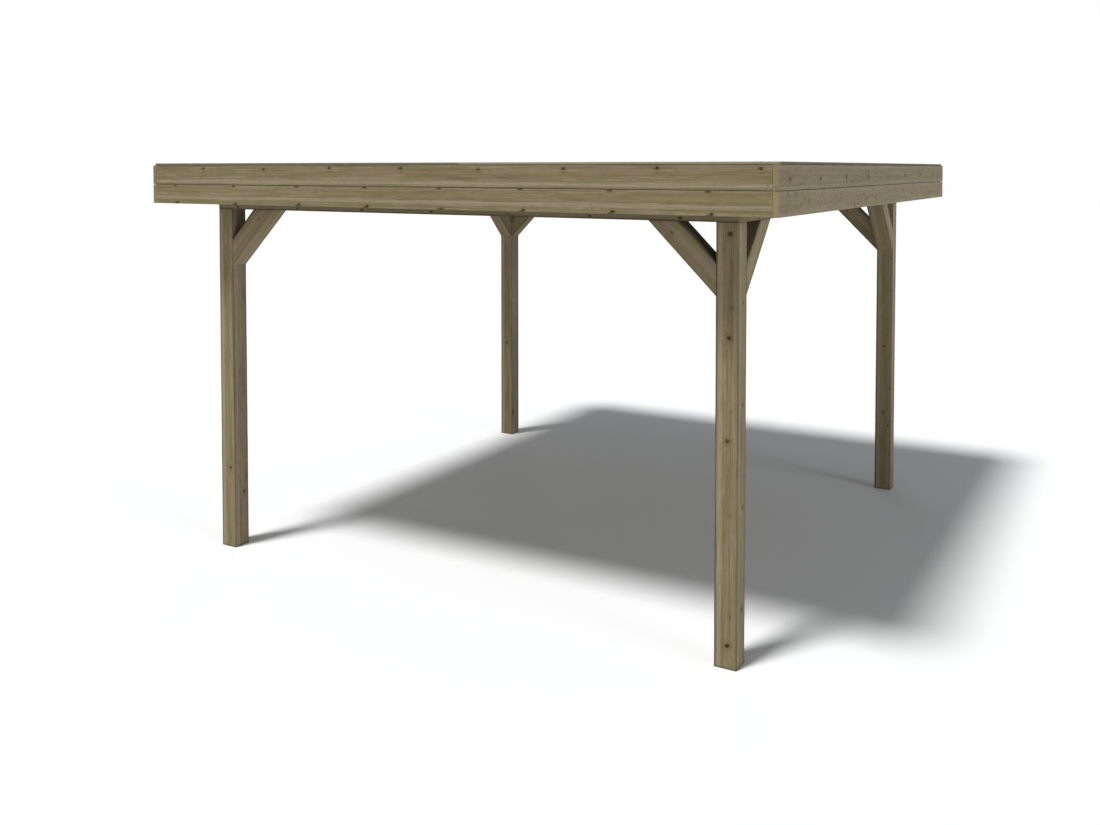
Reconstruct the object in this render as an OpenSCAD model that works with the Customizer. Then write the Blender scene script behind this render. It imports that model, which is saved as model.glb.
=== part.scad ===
// Open timber gazebo with a flat roof.
// Four square posts carry a ring of beams, stiffened by two knee braces at each post.
// Joists, a boarded deck and a felt covering make the roof, edged by two fascia boards a side.
// Units are millimetres. +Z is up, +X runs to the right along the front, and the front faces -Y.
// The origin is on the ground, at the centre of the plan.

/* [Post frame] */
// Width of the frame over the outer faces of the posts, left to right
frame_width = 3612; // [2400:1:5400]
// Depth of the frame over the outer faces of the posts, front to rear
frame_depth = 3588; // [2400:1:5400]
// Height of the posts, from the ground to the underside of the beams
post_height = 2254; // [1800:1:3000]
// Side of the square posts
post_size = 120; // [90:1:200]

/* [Beams] */
// Width of the beams, seen from below
beam_width = 120; // [60:1:200]
// Height of the beams
beam_height = 120; // [90:1:240]

/* [Knee braces] */
// Length of a brace along the beam and down the post, to its outer corners
brace_leg = 372; // [300:1:600]
// Thickness of a brace, square to its slope
brace_depth = 120; // [60:1:160]
// Width of a brace, across the frame
brace_width = 120; // [60:1:200]

/* [Roof] */
// Reach of the roof past the posts on the left and on the right
side_overhang = 294; // [120:1:600]
// Reach of the roof past the posts at the front and at the rear
front_overhang = 284; // [120:1:600]
// Height of the joists
joist_height = 145; // [95:1:220]
// Width of the joists
joist_width = 45; // [35:1:75]
// Thickness of the roof deck
deck_thickness = 22; // [15:1:32]
// Thickness of the roof felt
felt_thickness = 3; // [2:1:6]

/* [Fascia] */
// Face height of each fascia board
board_height = 120; // [80:1:160]
// Thickness of the fascia boards
board_thickness = 32; // [24:1:45]
// Open seam between the upper and the lower board
board_gap = 5; // [1:1:12]
// Height by which the lower board's tongue stands up behind the upper board
board_lap = 12; // [6:1:20]
// Thickness of that tongue
tongue_thickness = 12; // [8:1:16]
// Room around the tongue inside the upper board's rebate
lap_clearance = 1; // [0.5:0.5:3]

/* [Roof edge battens] */
// Width of the battens
trim_width = 45; // [30:1:90]
// Height of the battens
trim_height = 14; // [8:1:30]
// Distance from the fascia's face back to the battens' outer face
trim_inset = 10; // [0:1:20]
// Length of the longer of the two battens in line at the front and at the rear
trim_long_length = 2400; // [1200:1:2800]
// Gap between those two battens
trim_gap = 2; // [1:1:6]

/* [Edges] */
// Size of the eased long edges of the posts, beams and braces
timber_ease = 3; // [1:0.5:6]
// Size of the eased long edges of the joists, boards and battens
board_ease = 2; // [1:0.5:4]

/* [Hidden] */
left = -1;
right = 1;
front = -1;
rear = 1;

// Roof plan and the levels of the roof, from the beams up
roof_width = frame_width + 2 * side_overhang;
roof_depth = frame_depth + 2 * front_overhang;
joist_level = post_height + beam_height;
deck_level = joist_level + joist_height;
roof_level = deck_level + deck_thickness;

// The fascia's top is level with the deck's, and its two boards hang down from there
upper_board_base = board_height + board_gap;
fascia_height = upper_board_base + board_height;
fascia_base = roof_level - fascia_height;
inner_width = roof_width - 2 * board_thickness;
inner_depth = roof_depth - 2 * board_thickness;

// The outer joists stand over the side beams, and the others share the space between them
joist_count = 7;
joist_pitch = (frame_width - joist_width) / (joist_count - 1);

// A brace's ends are cut level against the beam and plumb against the post
brace_slope = 45;

trim_line_length = roof_width - 2 * trim_inset;
trim_short_length = trim_line_length - trim_long_length - trim_gap;
side_trim_length = roof_depth - 2 * (trim_inset + trim_width);

timber_colour = "#7d7254";
board_colour = "#85795a";
joist_colour = "#8a7d5c";
trim_colour = "#8c8371";
felt_colour = "#3a3a38";

JOISTS = [for (i = [1 : joist_count]) str("joist_", i)];

// Section of a timber with its four edges eased
module eased_section(width, height, ease) {
    polygon([
        [ease, 0], [width - ease, 0],
        [width, ease], [width, height - ease],
        [width - ease, height], [ease, height],
        [0, height - ease], [0, ease]
    ]);
}

// Any section run along +X
module run_along_x(length) {
    rotate([90, 0, 90])
        linear_extrude(height = length)
            children();
}

module bar_along_x(length, width, height, ease) {
    run_along_x(length)
        eased_section(width, height, ease);
}

module bar_along_y(length, width, height, ease) {
    translate([0, length, 0])
        rotate([90, 0, 0])
            linear_extrude(height = length)
                eased_section(width, height, ease);
}

// Every sub-part is drawn for the rear right quarter and mirrored to the side it belongs to
module to_side(x_side, y_side) {
    mirror([x_side == left ? 1 : 0, 0, 0])
        mirror([0, y_side == front ? 1 : 0, 0])
            children();
}

module post(x_side, y_side) {
    color(timber_colour)
        to_side(x_side, y_side)
            translate([frame_width / 2 - post_size, frame_depth / 2 - post_size, 0])
                linear_extrude(height = post_height)
                    eased_section(post_size, post_size, timber_ease);
}

// The front and rear beams run over the posts from end to end
module long_beam(y_side) {
    color(timber_colour)
        to_side(right, y_side)
            translate([-frame_width / 2, frame_depth / 2 - beam_width, post_height])
                bar_along_x(frame_width, beam_width, beam_height, timber_ease);
}

// The side beams fit between the front and rear beams
module side_beam(x_side) {
    length = frame_depth - 2 * beam_width;
    color(timber_colour)
        to_side(x_side, rear)
            translate([frame_width / 2 - beam_width, -length / 2, post_height])
                bar_along_y(length, beam_width, beam_height, timber_ease);
}

// A sloping timber with its foot on the plane x = 0 and its head on the plane z = 0
module brace_timber() {
    intersection() {
        translate([0, 0, -brace_leg])
            rotate([0, -brace_slope, 0])
                translate([-brace_depth, 0, 0])
                    bar_along_x(
                        brace_leg / cos(brace_slope) + 2 * brace_depth,
                        brace_width, brace_depth, timber_ease
                    );
        translate([0, 0, -brace_leg])
            cube([brace_leg, brace_width, brace_leg]);
    }
}

// Brace under the front or rear beam, flush with the frame's outer face
module long_beam_brace(x_side, y_side) {
    color(timber_colour)
        to_side(x_side, y_side)
            translate([frame_width / 2 - post_size, frame_depth / 2 - brace_width, post_height])
                mirror([1, 0, 0])
                    brace_timber();
}

// Brace under a side beam, flush with the frame's outer face
module side_beam_brace(x_side, y_side) {
    color(timber_colour)
        to_side(x_side, y_side)
            translate([frame_width / 2 - brace_width, frame_depth / 2 - post_size, post_height])
                rotate([0, 0, -90])
                    brace_timber();
}

module joist(centre_x) {
    color(joist_colour)
        translate([centre_x - joist_width / 2, -inner_depth / 2, joist_level])
            bar_along_y(inner_depth, joist_width, joist_height, board_ease);
}

// The rim joists carry the deck's edge and the side fascias, past the ends of the beams
module rim_joist(x_side) {
    joist(x_side * (inner_width - joist_width) / 2);
}

// Sections of the fascia boards: the outer face is at y = 0 and the tongue is on the inner side
module lower_board_section() {
    tongue_face = tongue_thickness - board_thickness;
    tongue_top = upper_board_base + board_lap;
    polygon([
        [-board_ease, 0], [0, board_ease],
        [0, board_height - board_ease], [-board_ease, board_height],
        [tongue_face, board_height], [tongue_face, tongue_top],
        [-board_thickness, tongue_top], [-board_thickness, 0]
    ]);
}

module upper_board_section() {
    rebate_face = tongue_thickness + lap_clearance - board_thickness;
    rebate_top = upper_board_base + board_lap + lap_clearance;
    polygon([
        [-board_ease, upper_board_base], [0, upper_board_base + board_ease],
        [0, fascia_height - board_ease], [-board_ease, fascia_height],
        [-board_thickness, fascia_height], [-board_thickness, rebate_top],
        [rebate_face, rebate_top], [rebate_face, upper_board_base]
    ]);
}

// The front and rear boards fit between the side boards
module long_fascia(y_side) {
    color(board_colour)
        to_side(right, y_side)
            translate([-inner_width / 2, roof_depth / 2, fascia_base])
                run_along_x(inner_width)
                    children();
}

// The side boards run from end to end and cover the ends of the front and rear boards
module side_fascia(x_side) {
    color(board_colour)
        to_side(x_side, rear)
            translate([roof_width / 2, roof_depth / 2, fascia_base])
                rotate([0, 0, -90])
                    run_along_x(roof_depth)
                        children();
}

// Two battens in line: the rear pair is the front pair turned half round
module trim_in_line(y_side, start, length) {
    color(trim_colour)
        rotate([0, 0, y_side == rear ? 180 : 0])
            translate([start - trim_line_length / 2, trim_inset - roof_depth / 2, roof_level])
                bar_along_x(length, trim_width, trim_height, board_ease);
}

module long_trim(y_side) {
    trim_in_line(y_side, 0, trim_long_length);
}

module short_trim(y_side) {
    trim_in_line(y_side, trim_long_length + trim_gap, trim_short_length);
}

module side_trim(x_side) {
    color(trim_colour)
        to_side(x_side, rear)
            translate([
                roof_width / 2 - trim_inset - trim_width,
                -side_trim_length / 2,
                roof_level
            ])
                bar_along_y(side_trim_length, trim_width, trim_height, board_ease);
}

module roof_deck() {
    color(joist_colour)
        translate([-inner_width / 2, -inner_depth / 2, deck_level])
            cube([inner_width, inner_depth, deck_thickness]);
}

// The felt lies on the deck inside the battens
module roof_felt() {
    felt_width = roof_width - 2 * (trim_inset + trim_width);
    color(felt_colour)
        translate([-felt_width / 2, -side_trim_length / 2, roof_level])
            cube([felt_width, side_trim_length, felt_thickness]);
}

post(left, front);  // post_front_left
post(right, front);  // post_front_right
post(left, rear);  // post_rear_left
post(right, rear);  // post_rear_right

long_beam(front);  // beam_front
long_beam(rear);  // beam_rear
side_beam(left);  // beam_left
side_beam(right);  // beam_right

long_beam_brace(left, front);  // brace_front_beam_left
long_beam_brace(right, front);  // brace_front_beam_right
long_beam_brace(left, rear);  // brace_rear_beam_left
long_beam_brace(right, rear);  // brace_rear_beam_right
side_beam_brace(left, front);  // brace_left_beam_front
side_beam_brace(left, rear);  // brace_left_beam_rear
side_beam_brace(right, front);  // brace_right_beam_front
side_beam_brace(right, rear);  // brace_right_beam_rear

for (i = [0 : joist_count - 1]) {
    joist((joist_width - frame_width) / 2 + i * joist_pitch);
}
rim_joist(left);  // rim_joist_left
rim_joist(right);  // rim_joist_right

long_fascia(front) lower_board_section();  // fascia_front_lower
long_fascia(front) upper_board_section();  // fascia_front_upper
long_fascia(rear) lower_board_section();  // fascia_rear_lower
long_fascia(rear) upper_board_section();  // fascia_rear_upper
side_fascia(left) lower_board_section();  // fascia_left_lower
side_fascia(left) upper_board_section();  // fascia_left_upper
side_fascia(right) lower_board_section();  // fascia_right_lower
side_fascia(right) upper_board_section();  // fascia_right_upper

long_trim(front);  // trim_front_long
short_trim(front);  // trim_front_short
long_trim(rear);  // trim_rear_long
short_trim(rear);  // trim_rear_short
side_trim(left);  // trim_left
side_trim(right);  // trim_right

roof_deck();
roof_felt();
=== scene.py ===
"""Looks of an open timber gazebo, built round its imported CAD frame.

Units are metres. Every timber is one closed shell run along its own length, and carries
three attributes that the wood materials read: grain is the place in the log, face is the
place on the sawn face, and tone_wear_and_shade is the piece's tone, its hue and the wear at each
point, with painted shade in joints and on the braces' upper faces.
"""

import math
import random
from collections import namedtuple

import bpy
from mathutils import Matrix, Vector, noise


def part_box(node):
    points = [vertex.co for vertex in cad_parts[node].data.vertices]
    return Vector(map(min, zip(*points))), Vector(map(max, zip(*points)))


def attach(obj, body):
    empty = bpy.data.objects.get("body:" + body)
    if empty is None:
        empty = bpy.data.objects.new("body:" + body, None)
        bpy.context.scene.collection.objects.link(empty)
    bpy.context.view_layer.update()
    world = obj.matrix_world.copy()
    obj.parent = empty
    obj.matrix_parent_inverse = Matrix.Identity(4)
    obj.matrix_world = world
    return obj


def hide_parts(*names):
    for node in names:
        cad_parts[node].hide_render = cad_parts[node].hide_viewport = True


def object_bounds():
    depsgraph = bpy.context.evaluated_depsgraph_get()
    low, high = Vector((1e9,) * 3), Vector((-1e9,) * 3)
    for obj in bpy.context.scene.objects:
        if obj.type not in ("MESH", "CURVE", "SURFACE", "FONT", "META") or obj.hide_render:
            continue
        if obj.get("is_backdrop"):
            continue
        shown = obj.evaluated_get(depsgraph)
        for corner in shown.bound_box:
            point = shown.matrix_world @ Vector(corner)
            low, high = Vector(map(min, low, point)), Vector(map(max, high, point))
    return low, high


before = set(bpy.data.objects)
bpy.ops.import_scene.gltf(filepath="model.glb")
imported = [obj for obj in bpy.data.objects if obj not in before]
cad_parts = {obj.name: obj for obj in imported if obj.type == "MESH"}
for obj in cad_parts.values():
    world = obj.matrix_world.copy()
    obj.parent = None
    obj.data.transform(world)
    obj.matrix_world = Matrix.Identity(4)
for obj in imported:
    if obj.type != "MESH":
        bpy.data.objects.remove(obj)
CAD_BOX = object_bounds()
MM = 0.001
# Which way each side of the gazebo looks
OUTWARD = {"front": "-Y", "rear": "+Y", "left": "-X", "right": "+X"}

# ---- sizes of the details

# Rounding of the long edges and of the sawn ends, and the angle in degrees that shows as a crease
TIMBER_ARRIS = 4 * MM
BOARD_ARRIS = 2.5 * MM
SHARP_ARRIS = 1.5 * MM
END_ARRIS = 1.5 * MM
ARC_STEPS = 3
CREASE_ANGLE = 38
# The rounding's mean share of those sizes, how much that varies, and how many times a metre
ARRIS_SHARE = 0.9
ARRIS_VARIETY = 0.5
ARRIS_TURNS = 7
# How far an arris's wear reaches on to the face, how strong it is where the face begins, and how
# far the painted shade in a joint reaches from its arris
WORN_BAND = 10 * MM
FACE_EDGE_WEAR = 0.75
JOINT_SHADE_BAND = 2.5 * MM
# Two arrises of a squared timber have this share of the wear of the other two
LESSER_WEAR = 0.4
# Distance between the rings of points along a timber
TIMBER_STEP = 45 * MM
BOARD_STEP = 90 * MM
DECK_STEP = 4 * BOARD_STEP
# Drying checks: half the width and the depth of their closed ends, their greatest depth, how far
# they stray from a line and how many times a metre, and their number
CLOSED_CHECK = 0.05 * MM
CHECK_DEPTH = 5 * MM
CHECK_WANDER = 4 * MM
CHECK_TURNS = 5
POST_CHECKS = 4
BEAM_CHECKS = 6

# Knee braces, and the painted shade on their upper faces, which lie in shadow under the beams
BRACE_DEPTH = 120 * MM
BRACE_SHADE = 0.5

# Fascia boards, as sawn: the face height, the tongue and rebate behind the seam, and how far
# each board's lip swells into the seam
BOARD_FACE = 120 * MM
TONGUE = 12 * MM
LAP_CLEARANCE = 1 * MM
SEAM_LIP = 1 * MM
# The boards' outer faces lie this far inside the frame's box, so that the screw heads fit in it
SKIN = 0.4 * MM

# Deck boards, the V joints below them, and the gap in each joint
DECK_BOARDS = 28
DECK_JOINT = 5 * MM
DECK_GAP = 0.4 * MM

# Strips of felt: how far each laps on to the one before, how high it ripples, the steps of its
# mesh along it and across it, and how far tar can seep out at its edges
FELT_STRIPS = 5
FELT_LAP = 75 * MM
FELT_RIPPLE = 0.7 * MM
FELT_STEPS_ALONG = 70
FELT_STEPS_ACROSS = 26
TAR_SEEP = 30 * MM

# The heads of screws and nails
SCREW_RADIUS = 3.6 * MM
NAIL_RADIUS = 2.6 * MM
SCREW_SIDES = 12
SCREW_DOME = 0.3 * MM
# A head's rings from its rim to the floor of its socket, as shares of its radius and its dome
SCREW_RINGS = [(1.0, -0.6), (1.0, 0.0), (0.86, 0.8), (0.52, 1.0), (0.46, 0.2)]
# Rings within this share of the radius are the socket's, with every other point drawn in
SOCKET_SHARE = 0.6
SOCKET_FLAT = 0.82
# Where screws and nails go: how far from the ends and from the middle line, and how far apart
BRACE_SCREW_INSET = 85 * MM
BRACE_SCREW_OFFSET = 30 * MM
FASCIA_SCREW_OFFSET = 36 * MM
SIDE_SCREW_INSET = 60 * MM
SIDE_SCREW_PITCH = 0.6
NAIL_INSET = 40 * MM
NAIL_PITCH = 0.45

# Each timber is cut from a place of its own along one long log
LOG = (0.0, 400.0)
# How much lighter or darker, and how red, single pieces of one kind come out
BRACE_TONES = (0.09, 0.14)
BRACE_HUE = 0.2
JOIST_TONES = (-0.02, 0.10)
DECK_TONES = (-0.06, 0.12)
DECK_HUES = (0.0, 0.3)
FELT_TONES = (-0.14, 0.14)

# ---- helpers


def srgb(red, green, blue):
    """A colour given as it shows on a screen, 0 to 255, as linear RGBA."""
    def linear(value):
        share = value / 255
        return share / 12.92 if share <= 0.04045 else ((share + 0.055) / 1.055) ** 2.4
    return (linear(red), linear(green), linear(blue), 1.0)


def axis(name):
    """The unit vector of an axis named as in "+X" or "-Y"."""
    unit = Vector([1.0 if letter == name[1] else 0.0 for letter in "XYZ"])
    return unit if name[0] == "+" else -unit


def box_size(node, direction):
    low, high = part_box(node)
    return abs((high - low).dot(direction))


def box_centre(node):
    low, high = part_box(node)
    return (low + high) / 2


def measured(node, names):
    """A node's axes, as named, its size along each, and the middle of its first end."""
    ways = [axis(name) for name in names.split()]
    sizes = [box_size(node, way) for way in ways]
    return ways, sizes, box_centre(node) - ways[0] * sizes[0] / 2


def placing(origin, along, across, depth):
    """The matrix that takes a timber's own axes to the frame's."""
    turn = Matrix((along, across, depth)).transposed().to_4x4()
    return Matrix.Translation(origin) @ turn


def evenly(length, inset, pitch):
    """Places along a board, about a pitch apart, from one inset to the other."""
    bays = round(length / pitch)
    return [inset + (length - 2 * inset) * bay / bays for bay in range(bays + 1)]


def add_object(name, data):
    thing = bpy.data.objects.new(name, data)
    bpy.context.scene.collection.objects.link(thing)
    return thing


# ---- sections of the timbers

# A corner of a section: its place, the rounding of its arris, its wear with any painted shade, how
# far that reaches, and the painted shade on the face that follows it
Corner = namedtuple("Corner", "across depth radius wear band dirt",
                    defaults=(0.0, 0.0, WORN_BAND, 0.0))
# A timber's faces run along its section's across axis, as a post's front and rear and a board's
# broad faces do, and its sides run along its depth
FACES, SIDES = 0.0, 1.0
# A point of a section, with whether it is on a face or a side, and its wear and painted shade
SectionPoint = namedtuple("SectionPoint", "across depth side wear")
# A drying check: the number of its face, its place across and along it, and its widest gap
Check = namedtuple("Check", "edge lateral start length gap")


def rectangle(width, thickness, radius, wear, dirt=0.0):
    """A squared section, of which two opposite arrises are worn more than the others.

    The painted shade lies on the face at the far end of its width.
    """
    half_width, half_thickness = width / 2, thickness / 2
    less = wear * LESSER_WEAR
    return [
        Corner(-half_width, -half_thickness, radius, wear),
        Corner(half_width, -half_thickness, radius, less, WORN_BAND, dirt),
        Corner(half_width, half_thickness, radius, wear),
        Corner(-half_width, half_thickness, radius, less),
    ]


def position(corner):
    return Vector((corner.across, corner.depth))


def side_of(start, end):
    """Whether two corners have a face or a side between them."""
    return FACES if abs(end.across - start.across) > abs(end.depth - start.depth) else SIDES


def corner_points(before, corner, after, radius):
    """The rounded arris at a corner, or the corner itself where it is square."""
    here = position(corner)
    back = (position(before) - here).normalized()
    ahead = (position(after) - here).normalized()
    if radius == 0:
        return [SectionPoint(*here, side_of(corner, after), 0.0)]
    centre = here + (back + ahead) * radius
    points = []
    for step in range(ARC_STEPS + 1):
        turn = step / ARC_STEPS * math.pi / 2
        point = centre - (ahead * math.cos(turn) + back * math.sin(turn)) * radius
        side = side_of(before, corner) if step <= ARC_STEPS / 2 else side_of(corner, after)
        share = FACE_EDGE_WEAR if step in (0, ARC_STEPS) else 1.0
        points.append(SectionPoint(*point, side, share * corner.wear))
    return points


def check_marks(check, middle, along):
    """The two lips of a check and its root, each as its distance, its depth and how dark it is
    painted.
    """
    share = (along - check.start) / check.length
    opening = math.sqrt(math.sin(share * math.pi)) if 0 < share < 1 else 0.0
    # The last two numbers give each check a wander of its own
    wander = noise.noise(Vector((along * CHECK_TURNS, check.lateral * 90, check.start)))
    place = middle + check.lateral + wander * CHECK_WANDER
    half_gap = CLOSED_CHECK + check.gap / 2 * opening
    root = CLOSED_CHECK + CHECK_DEPTH * opening
    return [(place - half_gap, 0.0, 0.0), (place, root, opening), (place + half_gap, 0.0, 0.0)]


def edge_points(start, end, trims, checks, along):
    """Points on a flat face: the ends of the worn bands, and the checks' lips and roots."""
    line = position(end) - position(start)
    length = line.length
    run = line / length
    inward = Vector((-run.y, run.x))
    widest = (length - sum(trims)) / 4
    marks = []
    if trims[0]:
        marks.append((trims[0] + min(start.band, widest), 0.0, start.dirt))
    if trims[1]:
        marks.append((length - trims[1] - min(end.band, widest), 0.0, start.dirt))
    for check in checks:
        marks += check_marks(check, length / 2, along)
    points = []
    for distance, inset, wear in sorted(marks):
        point = position(start) + run * distance + inward * inset
        points.append(SectionPoint(*point, side_of(start, end), wear))
    return points


def outline(corners, checks, along, arris_scale):
    """The section of a timber at one place along it, once round from its first corner."""
    points = []
    count = len(corners)
    for index, corner in enumerate(corners):
        before, after = corners[index - 1], corners[(index + 1) % count]
        radii = corner.radius * arris_scale, after.radius * arris_scale
        points += corner_points(before, corner, after, radii[0])
        on_edge = [check for check in checks if check.edge == index]
        points += edge_points(corner, after, radii, on_edge, along)
    return points


# ---- pieces

# A timber: its place, length and section, the log's heart in that section, where along the log it
# was cut, its tone, hue and checks, the slant of its ends, and the distance between its rings
Timber = namedtuple("Timber", "place length corners pith shift tone hue checks slant step",
                    defaults=(0.0, (), 0.0, BOARD_STEP))


class Piece:
    """One mesh object, gathered from one or more closed shells."""

    def __init__(self):
        self.points, self.marks, self.faces, self.slots = [], [], [], []

    def add_point(self, position, grain=(0, 0, 0), face=(0, 0, 0), tone_wear_and_shade=(0, 0, 0)):
        self.points.append(tuple(position))
        self.marks.append((grain, face, tone_wear_and_shade))

    def add_tube(self, first, rings, end_slot=0):
        """Skins the rings of points from number first on, and caps both ends."""
        count = (len(self.points) - first) // rings
        last = first + (rings - 1) * count
        for low in range(first, last, count):
            for index in range(low, low + count):
                after = low + (index + 1 - low) % count
                self.faces.append((index, after, after + count, index + count))
        self.faces.append(tuple(range(first + count - 1, first - 1, -1)))
        self.faces.append(tuple(range(last, last + count)))
        self.slots += [0] * (last - first) + [end_slot] * 2

    def add_timber(self, timber):
        """A sawn timber, eased at its edges and ends, with its place in the log at each point."""
        first = len(self.points)
        steps = max(3, round(timber.length / timber.step))
        stations = [(step / steps, 0.0) for step in range(steps + 1)]
        rings = [(0.0, END_ARRIS), *stations, (1.0, END_ARRIS)]
        half = max(abs(corner.across) for corner in timber.corners)
        deep = max(abs(corner.depth) for corner in timber.corners)
        for share, inner in rings:
            along = share * timber.length
            variation = noise.noise(Vector((along * ARRIS_TURNS, timber.shift, timber.tone)))
            scale = ARRIS_SHARE + ARRIS_VARIETY * variation
            for point in outline(timber.corners, timber.checks, along, scale):
                across = point.across * (1 - inner / half)
                depth = point.depth * (1 - inner / deep)
                lateral = point.across if point.side == FACES else point.depth
                lean = timber.slant * (across + half)
                here = lean + share * (timber.length - 2 * lean)
                if not inner:
                    here += END_ARRIS * (1 - 2 * share)
                self.add_point(
                    timber.place @ Vector((here, across, depth)),
                    (here + timber.shift, across - timber.pith[0], depth - timber.pith[1]),
                    (here, lateral, point.side),
                    (timber.tone, timber.hue, point.wear),
                )
        self.add_tube(first, len(rings), 1)

    def build(self, name, materials, nodes=()):
        """Makes the object, sets it on the frame, and hides the CAD nodes it takes the place of."""
        mesh = bpy.data.meshes.new(name)
        mesh.from_pydata(self.points, [], self.faces)
        for material in materials:
            mesh.materials.append(material)
        mesh.polygons.foreach_set("material_index", self.slots)
        for label, values in zip(("grain", "face", "tone_wear_and_shade"), zip(*self.marks)):
            layer = mesh.attributes.new(label, "FLOAT_VECTOR", "POINT")
            layer.data.foreach_set("vector", [number for value in values for number in value])
        turn_outward(mesh)
        mesh.shade_smooth()
        mesh.set_sharp_from_angle(angle=math.radians(CREASE_ANGLE))
        piece = add_object(name, mesh)
        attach(piece, "root")
        if nodes:
            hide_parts(*nodes)


def volume_under(a, b, c):
    """Six times the volume between a triangle and the origin, in full precision."""
    return (a[0] * (b[1] * c[2] - b[2] * c[1]) + a[1] * (b[2] * c[0] - b[0] * c[2])
            + a[2] * (b[0] * c[1] - b[1] * c[0]))


def turn_outward(mesh):
    """Flips the faces of a mesh whose shells were made in a mirrored frame."""
    volume = 0.0
    for face in mesh.polygons:
        corners = [mesh.vertices[index].co for index in face.vertices]
        for second, third in zip(corners[1:], corners[2:]):
            volume += volume_under(corners[0], second, third)
    if volume < 0:
        mesh.flip_normals()
    mesh.update()


# ---- shader graphs


class Graph:
    """Adds nodes to the tree of a material or of the world, and joins them up."""

    def __init__(self, owner):
        owner.use_nodes = True
        self.tree = owner.node_tree
        self.tree.nodes.clear()

    def feed(self, socket, value):
        if isinstance(value, bpy.types.NodeSocket):
            self.tree.links.new(value, socket)
        else:
            socket.default_value = value

    def add(self, kind, inputs=(), **settings):
        """A new node's outputs. Its inputs are given by their names or numbers."""
        node = self.tree.nodes.new(kind)
        for key, value in settings.items():
            setattr(node, key, value)
        for key, value in dict(inputs).items():
            self.feed(node.inputs[key], value)
        return node.outputs

    def math(self, operation, *values):
        return self.add("ShaderNodeMath", enumerate(values), operation=operation)[0]

    def plus(self, first, second):
        return self.math("ADD", first, second)

    def minus(self, first, second):
        return self.math("SUBTRACT", first, second)

    def times(self, first, *factors):
        for factor in factors:
            first = self.math("MULTIPLY", first, factor)
        return first

    def split(self, vector):
        return tuple(self.add("ShaderNodeSeparateXYZ", {0: vector}))

    def noise(self, vector, along, across, detail=2.0, roughness=0.5):
        """Noise from 0 to 1, with so many features a metre along the first axis and across it."""
        scale = (along, across, across)
        place = self.add("ShaderNodeVectorMath", {0: vector, 1: scale}, operation="MULTIPLY")[0]
        inputs = {"Vector": place, "Scale": 1.0, "Detail": detail, "Roughness": roughness}
        return self.add("ShaderNodeTexNoise", inputs)[0]

    def chance(self, value):
        """A number from 0 to 1 that is the same wherever value is."""
        return self.add("ShaderNodeTexWhiteNoise", {"W": value}, noise_dimensions="1D")[0]

    def ease(self, value, start, end, low=0.0, high=1.0):
        """Goes smoothly from low to high as value goes from start to end."""
        inputs = enumerate((value, start, end, low, high))
        return self.add("ShaderNodeMapRange", inputs, interpolation_type="SMOOTHSTEP")[0]

    def mix(self, share, first, second):
        inputs = {0: share, 6: first, 7: second}
        return self.add("ShaderNodeMix", inputs, data_type="RGBA", blend_type="MIX")[2]

    def layers(self, colour, tints):
        """Lays tints over a colour, each up to its share, as its value goes from start to end."""
        for value, start, end, share, tint in tints:
            colour = self.mix(self.ease(value, start, end, 0.0, share), colour, tint)
        return colour

    def brighten(self, colour, factor):
        return self.add("ShaderNodeVectorMath", {0: colour, "Scale": factor}, operation="SCALE")[0]

    def seen(self):
        """1 for rays from the camera, mirrors and glass, and 0 for light that bounces."""
        path = self.add("ShaderNodeLightPath")
        mirrored = self.math("MAXIMUM", path["Is Glossy Ray"], path["Is Transmission Ray"])
        return self.math("MAXIMUM", path["Is Camera Ray"], mirrored)


class Surface(Graph):
    """The graph of one material, round its main shader."""

    def __init__(self, name):
        self.material = bpy.data.materials.new(name)
        super().__init__(self.material)
        self.shader = self.tree.nodes.new("ShaderNodeBsdfPrincipled")
        self.add("ShaderNodeOutputMaterial", {"Surface": self.shader.outputs["BSDF"]})

    def set(self, name, value):
        self.feed(self.shader.inputs[name], value)

    def set_colour(self, colour, tone):
        """The colour of a piece that is lighter, or darker, than others by its tone."""
        self.set("Base Color", self.brighten(colour, self.plus(tone, 1.0)))

    def attribute(self, name):
        return self.add("ShaderNodeAttribute", attribute_name=name)["Vector"]

    def bump(self, height, distance, strength):
        inputs = {"Height": height, "Distance": distance, "Strength": strength}
        self.set("Normal", self.add("ShaderNodeBump", inputs)[0])


# ---- wood

# Pressure-treated pine, weathered to olive and grey brown
WOOD_MID = srgb(130, 118, 90)
WOOD_DARK = srgb(103, 92, 67)
WOOD_LIGHT = srgb(153, 142, 115)
WOOD_OLIVE = srgb(119, 115, 79)
WOOD_PINK = srgb(138, 120, 102)
WOOD_LATE = srgb(92, 77, 51)
WOOD_PALE = srgb(157, 145, 122)
WOOD_TAN = srgb(133, 117, 82)
WOOD_ROSE = srgb(153, 138, 120)
WOOD_SILVER = srgb(140, 132, 117)
WOOD_WORN_AND_SHADED = srgb(64, 60, 43)
KNOT_HEART = srgb(70, 55, 22)
KNOT_RIM = srgb(50, 38, 14)
END_GRAIN = srgb(147, 133, 103)
END_DARK = srgb(112, 99, 70)

# The width of a year's ring, how strongly its late wood shows, how far the rings wander on the long
# faces and on the sawn ends, and how strongly wood shines
RING_WIDTH = 5.2 * MM
LATEWOOD = 0.22
FACE_WANDER = 14 * MM
END_WANDER = 4 * MM
WOOD_SHINE = 0.10

# A knot, in half heights: how ragged it is, where it begins and where it is full, how far round it
# the rings are pushed, and how far aside. Then comes how much its strength varies along a row.
KNOT_RAGGED = 1.1
KNOT_EDGE = 1.6
KNOT_FULL = 0.55
PUSH_REACH = 2.6
PUSH = 1.7
KNOT_VARIETY = 0.35

# How dark a damp post's foot is and how high the stain rises, and the height at which a post's
# painted light and shade changes over, lighter above it and darker below
DAMP = 0.45
DAMP_REACH = 14 * MM
FOOT_SHADE_LEVEL = 1.15

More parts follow.
